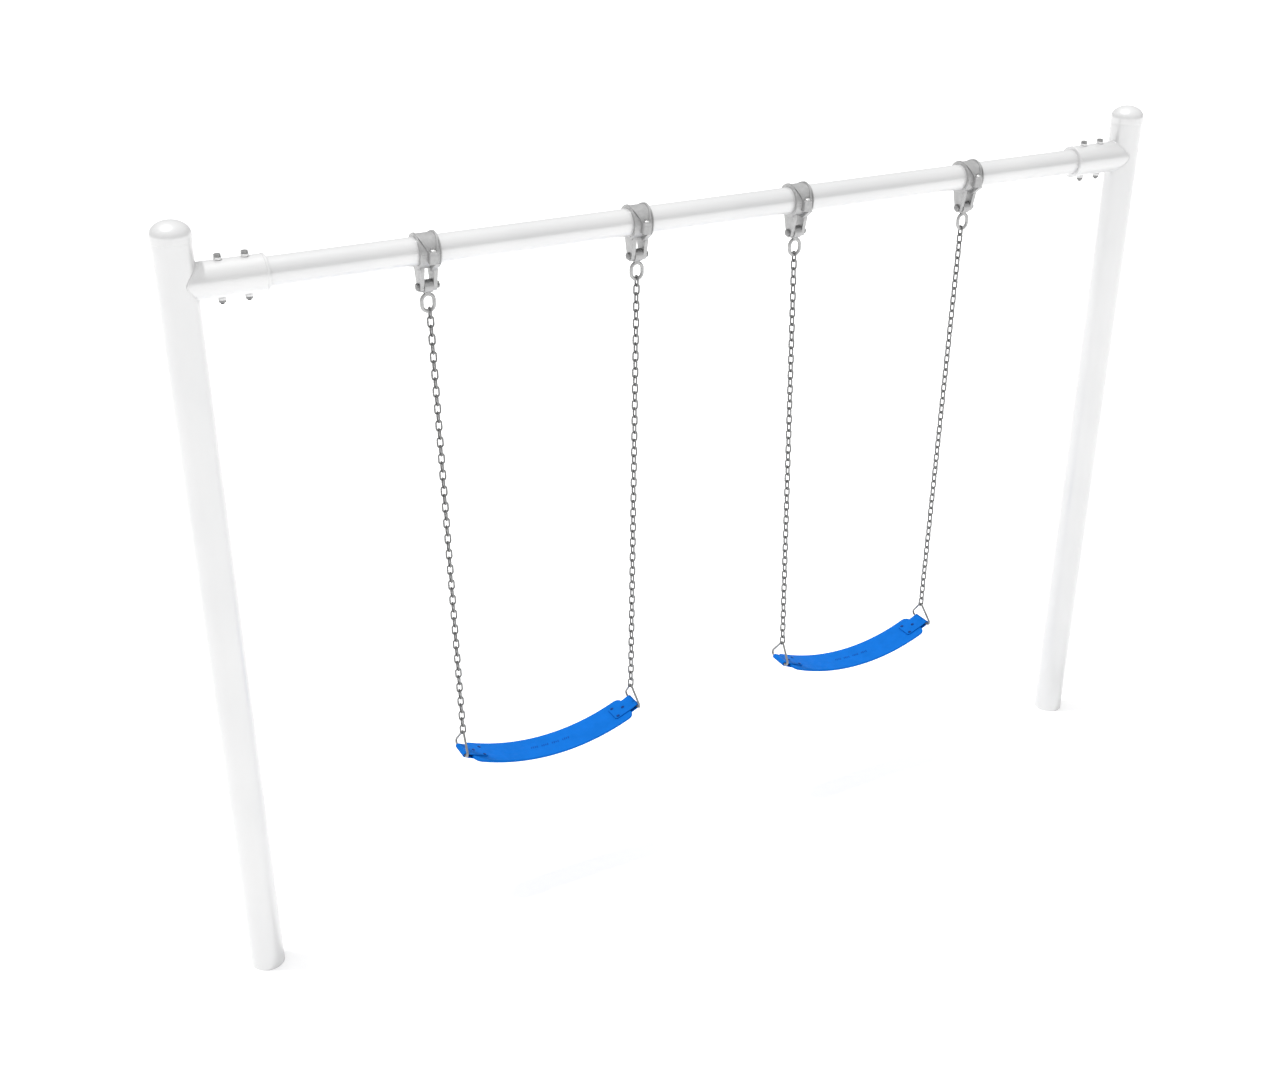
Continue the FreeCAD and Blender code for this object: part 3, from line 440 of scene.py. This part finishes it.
def moulded_sheet(half_length, half_width, thick, edge, corner, to_world, pitch=SHEET_PITCH, relief=None):
    """Closed sheet with rounded corners and rounded edges, bent by to_world(along, across, out).

    relief(along, across) raises its outer face. A fine parting line runs round its edge.
    """
    def half_width_at(along):
        """Half the width at a place along the sheet."""
        past = abs(along) - (half_length - corner)
        return half_width if past <= 0 else half_width - corner + math.sqrt(max(corner ** 2 - past ** 2, 0))

    def inset(along, across):
        """Distance inwards from the outline."""
        beyond = abs(along) - (half_length - corner), abs(across) - (half_width - corner)
        outside = math.hypot(max(beyond[0], 0), max(beyond[1], 0))
        return corner - outside - min(max(beyond), 0)

    def half_thick(along, across):
        """Half the thickness, which rounds off near the outline."""
        short = edge - min(max(inset(along, across), 0), edge)
        return thick / 2 - edge + math.sqrt(edge ** 2 - short ** 2)

    columns = spread(half_length, edge_steps(edge, corner), pitch)
    rows = spread(half_width, edge_steps(edge, edge), pitch)
    flat = []
    for along in columns:
        width = half_width_at(along)
        for row in rows:
            rim = half_width - abs(row)
            if rim < edge:
                across = math.copysign(width - rim, row)
            else:
                across = row * (width - edge) / (half_width - edge)
            flat.append((along, across))
    raised = relief or (lambda along, across: 0)
    vertices = [to_world(a, c, half_thick(a, c) + raised(a, c)) for a, c in flat]
    vertices += [to_world(a, c, -half_thick(a, c)) for a, c in flat]
    wide, count = len(rows), len(flat)
    faces = []
    for column in range(len(columns) - 1):
        for row in range(wide - 1):
            first = column * wide + row
            quad = [first, first + wide, first + wide + 1, first + 1]
            faces.append(quad)
            faces.append([count + corner_index for corner_index in reversed(quad)])
    last = (len(columns) - 1) * wide
    outline = list(range(wide)) + [column * wide + wide - 1 for column in range(1, len(columns))]
    outline += [last + row for row in range(wide - 2, -1, -1)]
    outline += [column * wide for column in range(len(columns) - 2, 0, -1)]
    ridge_start = len(vertices)
    for index in outline:
        along, across = flat[index]
        past = max(abs(along) - half_length + corner, 0), max(abs(across) - half_width + corner, 0)
        out = Vector(past).normalized() * PARTING_RIDGE
        vertices.append(to_world(along + math.copysign(out.x, along),
                                 across + math.copysign(out.y, across), 0))
    for place, index in enumerate(outline):
        after = (place + 1) % len(outline)
        following = outline[after]
        faces.append([index, following, ridge_start + after, ridge_start + place])
        faces.append([ridge_start + place, ridge_start + after, count + following, count + index])
    return vertices, faces


# ---------------------------------------------------------------- seats

def belt_map(side):
    """Map from (along the belt, across it, height above its mid thickness) to the frame."""
    low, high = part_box(f"{side}_seat_belt")
    middle = (low.x + high.x) / 2
    centre = low.z + BELT_THICK / 2 + BELT_RADIUS

    def to_world(along, across, up):
        """Place on or near the belt."""
        angle = along / BELT_RADIUS
        return Vector((middle + (BELT_RADIUS - up) * math.sin(angle), across,
                       centre - (BELT_RADIUS - up) * math.cos(angle)))
    return to_world


def bar_length(side):
    """Length along the belt from its middle to the bar of a triangle, which leans in above the bar."""
    belt_low, belt_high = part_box(f"{side}_seat_belt")
    middle = (belt_low.x + belt_high.x) / 2
    reach = max(abs(corner.x - middle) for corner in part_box(f"{side}_outer_triangle")) - TRIANGLE_WIRE / 2
    return BELT_RADIUS * math.asin(reach / BELT_RADIUS)


def grip_marks(to_world):
    """Small raised bars in four groups along the middle of a belt."""
    marks = []
    for group in range(GRIP_GROUPS):
        for bar in range(GRIP_BARS):
            middle = (group - (GRIP_GROUPS - 1) / 2) * GRIP_GROUP_PITCH
            middle += (bar - (GRIP_BARS - 1) / 2) * GRIP_BAR_PITCH
            height = GRIP_BAR_LENGTHS[bar % 2]

            def on_belt(along, across, up, middle=middle):
                """Place on a bar, which leans a little along the belt."""
                return to_world(middle + along + 0.25 * across, across, BELT_THICK / 2 + 0.1 * MM + up)
            marks.append(moulded_sheet(1.7 * MM, height / 2, 1.3 * MM, 0.5 * MM, 1.5 * MM, on_belt, 1.2 * MM))
    return marks


def make_belt(side):
    """Curved rubber belt with rounded corners and its grip marks."""
    to_world = belt_map(side)
    slab = moulded_sheet(BELT_END, BELT_WIDTH / 2, BELT_THICK, BELT_EDGE, BELT_CORNER, to_world)
    piece(f"{side}_rubber_belt", [slab], f"{side}_seat", RUBBER, [f"{side}_seat_belt"])
    # The grip marks get the darker rubber, which paints shade about them.
    piece(f"{side}_grip_marks", grip_marks(to_world), f"{side}_seat", SHADED_MARK_RUBBER)


def strap_map(side, way):
    """Map from (along the strap from the bar, across it, out from its mid thickness) to the frame."""
    to_world = belt_map(side)
    bar = bar_length(side)
    radius = BELT_THICK / 2 + STRAP_GAP + STRAP_THICK / 2
    quarter = math.pi / 2 * radius

    def around(along, across, out):
        """Place on the strap: a leaf above the belt, a bend about the bar and a leaf below."""
        if abs(along) <= quarter:
            angle = along / radius
            return to_world(way * (bar + (radius + out) * math.cos(angle)), across,
                            -(radius + out) * math.sin(angle))
        up = math.copysign(radius + out, -along)
        return to_world(way * (bar - (abs(along) - quarter)), across, up)
    return around, bar - STRAP_START + quarter, quarter


def make_straps(side):
    """Rubber straps round the bars of the triangles, pulled down a little about each rivet."""
    straps = []
    for way in (-1, 1):
        around, half_length, quarter = strap_map(side, way)
        bar = bar_length(side)

        def dimples(along, across, bar=bar, quarter=quarter):
            """Depth of the hollows about the rivets, and of the two pressed lines along the edges."""
            on_belt = bar - (abs(along) - quarter)
            depth = 0
            for place, offset in RIVET_PLACES:
                away = math.hypot(on_belt - place, across - offset)
                depth -= 0.7 * MM * math.exp(-(away / (8 * MM)) ** 2)
            line = abs(abs(across) - (STRAP_WIDTH / 2 - 5 * MM))
            return depth - 0.35 * MM * math.exp(-(line / (0.9 * MM)) ** 2)
        straps.append(moulded_sheet(half_length, STRAP_WIDTH / 2, STRAP_THICK, STRAP_EDGE, STRAP_CORNER,
                                    around, 1.6 * MM, dimples))
    piece(f"{side}_rubber_straps", straps, f"{side}_seat", RUBBER, [f"{side}_seat_end_straps"])


def rivet_head():
    """Low domed head with a small centre dimple, its seat at height 0."""
    radius, height = RIVET_RADIUS, RIVET_HEIGHT
    return lathe([
        (0, height * 0.78), (radius * 0.16, height * 0.80), (radius * 0.24, height * 0.98),
        (radius * 0.45, height), (radius * 0.68, height * 0.88), (radius * 0.86, height * 0.58),
        (radius * 0.96, height * 0.28), (radius, 0), (radius, -1.2 * MM), (0, -1.2 * MM)], 28)


def make_rivets(side):
    """Rivets with a domed head on each face of the seat."""
    to_world = belt_map(side)
    stack = BELT_THICK / 2 + STRAP_GAP + STRAP_THICK - 0.45 * MM
    heads = []
    for way in (-1, 1):
        for along, across in RIVET_PLACES:
            for face in (1, -1):
                seat = to_world(way * along, across, face * stack)
                axis = to_world(way * along, across, 2 * face * stack) - seat
                heads.append(moved(rivet_head(), seat, axis))
            foot, top = (to_world(way * along, across, face * stack) for face in (-1, 1))
            length = (top - foot).length
            shank = lathe([(0, length), (RIVET_SHANK_RADIUS, length), (RIVET_SHANK_RADIUS, 0), (0, 0)], 20)
            heads.append(moved(shank, foot, top - foot))
    piece(f"{side}_rivets", heads, f"{side}_seat", SLOT_MATERIALS["rivet_finish"],
          [f"{side}_seat_rivets"])


# ---------------------------------------------------------------- fasteners

def hexagon(flats):
    """Radius of a hexagon at an angle."""
    return lambda angle: flats / 2 / math.cos((angle + math.pi / 6) % (math.pi / 3) - math.pi / 6)


def chamfer(height, flats, sign=1):
    """Height of the chamfered corners of a hexagon at an angle."""
    outline = hexagon(flats)
    return lambda angle: height - sign * (outline(angle) - 0.475 * flats) * math.tan(math.radians(30))


def thread(top, length, radius=BOLT_RADIUS):
    """Rings of a threaded end from a height down, with a tapered tip."""
    steps = round(length / (THREAD_PITCH / 6))
    depth = 0.55 * THREAD_PITCH

    def groove(height):
        """Radius of the thread at a height, as a function of the angle."""
        def at(angle):
            """Ridge of the thread at an angle."""
            turn = (height / THREAD_PITCH + angle / (2 * math.pi)) % 1
            return radius - depth * abs(2 * turn - 1)
        return at
    rings = [(groove(-k * THREAD_PITCH / 6), top - k * THREAD_PITCH / 6) for k in range(steps)]
    end = top - length
    return rings + [(radius - depth, end), (radius - 1.4 * depth, end - 0.8 * MM), (0, end - 0.8 * MM)]


def hex_head(height, flats=HEX_FLATS):
    """Rings of a chamfered hexagon head with a washer face, from its top to its seat at height 0."""
    return [
        (0, height), (0.44 * flats, height), (0.475 * flats, height),
        (hexagon(flats), chamfer(height, flats)), (hexagon(flats), 0.6 * MM),
        (0.48 * flats, 0.6 * MM), (0.48 * flats, 0)]


def hex_nut(height, flats=HEX_FLATS, bore=BOLT_RADIUS):
    """Nut chamfered on both faces, standing on height 0."""
    inner = bore + 0.05 * MM
    return lathe([
        (inner, 0.6 * MM), (inner, height - 0.6 * MM), (inner + 0.6 * MM, height), (0.475 * flats, height),
        (hexagon(flats), chamfer(height, flats)), (hexagon(flats), chamfer(0, flats, -1)),
        (0.475 * flats, 0), (inner + 0.6 * MM, 0), (inner, 0.6 * MM)], 48)


def washer(height=WASHER_HEIGHT, radius=WASHER_RADIUS, bore=WASHER_BORE):
    """Washer with softened edges, standing on height 0."""
    soft = 0.4 * MM
    return lathe([
        (bore, 0), (bore, height), (radius - soft, height), (radius, height - soft), (radius, soft),
        (radius - soft, 0), (bore, 0)], 48)


def socket_head(height=SCREW_HEIGHT, radius=SCREW_RADIUS):
    """Low domed screw head with a hexagon socket, its seat at height 0."""
    socket, shank = SCREW_SOCKET, SCREW_SHANK_RADIUS
    return lathe([
        (0, height - 3.2 * MM), (hexagon(socket), height - 3 * MM), (hexagon(socket), height - 0.3 * MM),
        (hexagon(socket * 1.08), height), (0.55 * radius, height * 0.99), (0.78 * radius, height * 0.88),
        (0.93 * radius, height * 0.6), (radius, height * 0.3), (radius, 0), (shank, 0),
        (shank, -SCREW_LENGTH), (0, -SCREW_LENGTH)], 48)


def make_collar_bolts():
    """Chamfered hexagon bolts, painted spacer washers and nuts of the two collars."""
    zinc = SLOT_MATERIALS["zinc_fasteners"]
    head_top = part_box("collar_bolts")[1].z
    washer_low, washer_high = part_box("collar_washers")
    nut_low, nut_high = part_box("collar_nuts")
    post_low, post_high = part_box("left_post")
    post_x = (post_low.x + post_high.x) / 2
    bolts, nuts, washers = [], [], []
    for x in [sign * (post_x + reach) for sign in (1, -1) for reach in COLLAR_BOLTS]:
        profile = hex_head(head_top - washer_high.z) + [(BOLT_RADIUS, 0)]
        profile += thread(nut_low.z - washer_high.z, 4 * MM)
        bolts.append(moved(lathe(profile, 48), (x, 0, washer_high.z)))
        nuts.append(moved(hex_nut(nut_high.z - nut_low.z), (x, 0, nut_low.z)))
        for foot in (washer_high.z - WASHER_HEIGHT, washer_low.z):
            washers.append(moved(washer(), (x, 0, foot)))
    piece("hex_bolts", bolts, "frame", zinc, ["collar_bolts"])
    piece("hex_nuts", nuts, "frame", zinc, ["collar_nuts"])
    piece("spacer_washers", washers, "frame", SLOT_MATERIALS["white_paint"],
          ["collar_washers"])


def make_pivot_pin(name, pivot):
    """Pin with a round head on its left and a threaded end on its right. Returns the place of its nut."""
    low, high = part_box(f"{name}_pivot_pin")
    head, radius = PIVOT_HEAD, PIVOT_HEAD_RADIUS
    profile = [(0, head), (0.6 * radius, head), (0.86 * radius, head * 0.9), (0.97 * radius, head * 0.68),
               (radius, head * 0.4), (radius, 0), (BOLT_RADIUS, 0)]
    profile += thread(-PIVOT_GRIP - PIVOT_NUT, high.x - low.x - head - PIVOT_GRIP - PIVOT_NUT - 1 * MM)
    pin = moved(lathe(profile, 48), (low.x + head, 0, pivot.z), (-1, 0, 0))
    piece(f"{name}_round_head_pin", [pin], "frame", SLOT_MATERIALS["zinc_fasteners"],
          [f"{name}_pivot_pin"])
    return Vector((low.x + head + PIVOT_GRIP, 0, pivot.z))


def make_hanger_fasteners():
    """Clamp screws, pivot pins with their threaded ends, and pivot nuts."""
    low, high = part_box("clamp_screws")
    screws, nuts = [], []
    for side in SIDES:
        for end in ENDS:
            pivot = joint_place(f"{side}_{end}_pendulum_swing")
            for x, y in ((pivot.x + SCREW_OFFSET, low.y + SCREW_RADIUS),
                         (pivot.x - SCREW_OFFSET, high.y - SCREW_RADIUS)):
                screws.append(moved(socket_head(), (x, y, high.z - SCREW_HEIGHT)))
            nuts.append(moved(hex_nut(PIVOT_NUT), make_pivot_pin(f"{side}_{end}", pivot), (1, 0, 0)))
    piece("socket_screws", screws, "frame", BRIGHT_ZINC, ["clamp_screws"])
    piece("hanger_nuts", nuts, "frame", SLOT_MATERIALS["zinc_fasteners"], ["pivot_nuts"])


# ---------------------------------------------------------------- post caps

def make_post_caps():
    """Pressed caps with a round dome, within the size of the CAD caps."""
    for side in SIDES:
        low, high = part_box(f"{side}_post_cap")
        post_low, post_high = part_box(f"{side}_post")
        radius = (high.x - low.x) / 2
        inner = (post_high.x - post_low.x) / 2 + 0.1 * MM
        height = high.z - low.z
        dome = height - CAP_SKIRT
        angles = [math.radians(angle) for angle in range(90, -1, -3)]
        outside = [(radius * math.cos(angle), CAP_SKIRT + dome * math.sin(angle)) for angle in angles]
        profile = [(0, height)] + outside[1:] + [(radius, 1 * MM), (radius - 0.8 * MM, 0), (inner, 0)]
        profile += [(inner, CAP_SEAT), (0, CAP_SEAT)]
        place = ((low.x + high.x) / 2, (low.y + high.y) / 2, low.z)
        piece(f"{side}_domed_cap", [moved(lathe(profile, 96), place)], "frame",
              SLOT_MATERIALS["white_paint"], [f"{side}_post_cap"])


# ---------------------------------------------------------------- welds

def make_collar_welds():
    """Weld bead where each collar is coped to its post."""
    rail_low, rail_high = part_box("top_rail")
    height = (rail_low.z + rail_high.z) / 2
    for side, sign in SIDES.items():
        post_low, post_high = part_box(f"{side}_post")
        post_x = (post_low.x + post_high.x) / 2
        post_radius = (post_high.x - post_low.x) / 2
        points, radii = [], []
        count = 360
        for step in range(count):
            angle = 2 * math.pi * step / count
            y = COLLAR_RADIUS * math.cos(angle)
            reach = math.sqrt(post_radius ** 2 - y ** 2)
            points.append(Vector((post_x - sign * (reach + 0.4 * MM), y * 1.002,
                                  height + 1.002 * COLLAR_RADIUS * math.sin(angle))))
            radii.append(WELD_RADIUS + WELD_RIPPLE * math.sin(WELD_RIPPLES * angle))
        piece(f"{side}_collar_weld", [tube(points, radii)], "frame",
              SLOT_MATERIALS["white_paint"], sharp=80)


def make_chain_welds():
    """Small swelling of the butt weld on one side of every link."""
    radius = LINK_WIRE / 2
    half = 2.6 * MM
    bulge = lathe([(radius * 0.9, half), (radius * 1.07, half * 0.62), (radius * 1.13, half * 0.2),
                   (radius * 1.13, -half * 0.2), (radius * 1.07, -half * 0.62), (radius * 0.9, -half)], 14)
    for side in SIDES:
        for end in ENDS:
            name = f"{side}_{end}"
            top, foot = joint_place(f"{name}_chain_sway"), joint_place(f"{name}_link_level")
            down = (foot - top).normalized()
            pitch = (foot - top).length / (LINKS - 2)
            beside = {0: Vector((0, 1, 0)), 1: Vector((0, 1, 0)).cross(down)}
            welds = []
            for link in range(1, LINKS - 1):
                middle = top + down * ((link - 0.5) * pitch - LINK_CROWN)
                welds.append(moved(bulge, middle + beside[link % 2] * LINK_SIDE, down))
            piece(f"{name}_link_welds", welds, f"{name}_chain",
                  SLOT_MATERIALS["galvanised_chain"])


# ---------------------------------------------------------------- CAD nodes

def finish_cad_nodes():
    """Give every CAD node that stays the material of its slot."""
    slots = {part["node"]: part["material_slot"] for part in frame["record"]["subparts"]}
    for name, node in nodes.items():
        node.data.materials.clear()
        node.data.materials.append(SLOT_MATERIALS[slots[name]])


# ---------------------------------------------------------------- light, floor and camera

def make_world():
    """Studio dome: bright overhead, dimmer towards the horizon."""
    world = bpy.data.worlds.new("studio")
    bpy.context.scene.world = world
    world.use_nodes = True
    tree = world.node_tree
    where = tree.nodes.new("ShaderNodeTexCoord")
    split = tree.nodes.new("ShaderNodeSeparateXYZ")
    dome = tree.nodes.new("ShaderNodeValToRGB")
    stops = dome.color_ramp.elements
    for place, _ in DOME_STOPS[1:-1]:
        stops.new(place)
    for stop, (place, value) in zip(stops, DOME_STOPS):
        stop.position = place
        stop.color = (*grey(value), 1)
    tree.links.new(where.outputs["Generated"], split.inputs["Vector"])
    tree.links.new(split.outputs["Z"], dome.inputs["Fac"])
    tree.links.new(dome.outputs["Color"], tree.nodes["Background"].inputs["Color"])


def make_sun():
    """Overhead light from behind on the left."""
    light = bpy.data.lights.new("overhead", "SUN")
    light.energy = SUN_STRENGTH
    light.angle = math.radians(SUN_ANGLE)
    made = bpy.data.objects.new("overhead", light)
    made.rotation_euler = Vector(SUN_TRAVEL).to_track_quat("-Z", "Y").to_euler()
    bpy.context.scene.collection.objects.link(made)


def make_floor():
    """Plain white floor with a faint glow, so that shadows on it stay pale."""
    mesh = bpy.data.meshes.new("floor")
    corners = [(x * FLOOR_REACH, y * FLOOR_REACH, 0) for x, y in ((-1, -1), (1, -1), (1, 1), (-1, 1))]
    mesh.from_pydata(corners, [], [(0, 1, 2, 3)])
    made, tree, shader = new_material("white_floor", Roughness=0.9, Specular_IOR_Level=0.1,
                                      Emission_Color=(1, 1, 1, 1), Emission_Strength=0.13)
    tree.links.new(ramp(tree, noise(tree, 2), grey(0.96), grey(0.97)), shader.inputs["Base Color"])
    mesh.materials.append(made)
    floor = bpy.data.objects.new("floor", mesh)
    bpy.context.scene.collection.objects.link(floor)


def make_camera():
    """Camera at the photograph's viewing angle."""
    camera = bpy.data.cameras.new("camera")
    camera.lens = CAMERA_LENS
    camera.clip_end = 300
    made = bpy.data.objects.new("camera", camera)
    made.location = CAMERA_PLACE
    made.rotation_euler = (math.radians(90 + CAMERA_PITCH), 0, math.radians(CAMERA_YAW))
    bpy.context.scene.collection.objects.link(made)
    bpy.context.scene.camera = made


make_camera()
make_world()
make_sun()
make_floor()
bpy.context.scene.view_settings.view_transform = "Standard"
finish_cad_nodes()
for seat_side in SIDES:
    make_belt(seat_side)
    make_straps(seat_side)
    make_rivets(seat_side)
make_collar_bolts()
make_hanger_fasteners()
make_post_caps()
make_collar_welds()
make_chain_welds()
